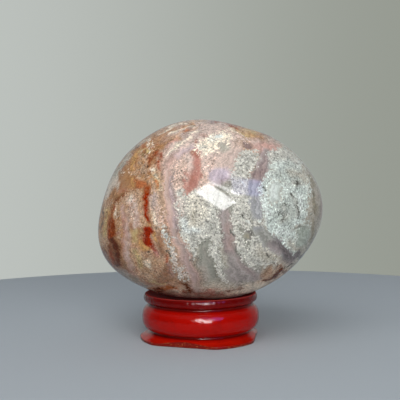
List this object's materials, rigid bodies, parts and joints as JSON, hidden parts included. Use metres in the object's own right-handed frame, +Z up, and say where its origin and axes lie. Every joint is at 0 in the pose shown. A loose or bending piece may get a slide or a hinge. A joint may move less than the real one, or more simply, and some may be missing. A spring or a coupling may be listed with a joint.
{
  "type": "ocean jasper on a stand",
  "caption": "Polished egg-shaped ocean jasper with wavy bands and a pale orb, resting on a small turned stand of red lacquered wood.",
  "frame": {"origin": "on the stand's turning axis, at the middle of its flat underside", "axes": "+Z up along the stand's turning axis, +X along the stone's long way towards its more pointed end, -Y towards the front that shows the bands"},
  "size_m": [0.0636, 0.0492, 0.0615],
  "materials": {
    "polished_stone": "high polish, banded pink, beige, lilac and speckled greenish white, with rust-red veins",
    "red_lacquer": "thick glossy red lacquer over turned wood"
  },
  "bodies": {
    "root": {"stone": "polished_stone", "stand": "red_lacquer"}
  },
  "joints": []
}
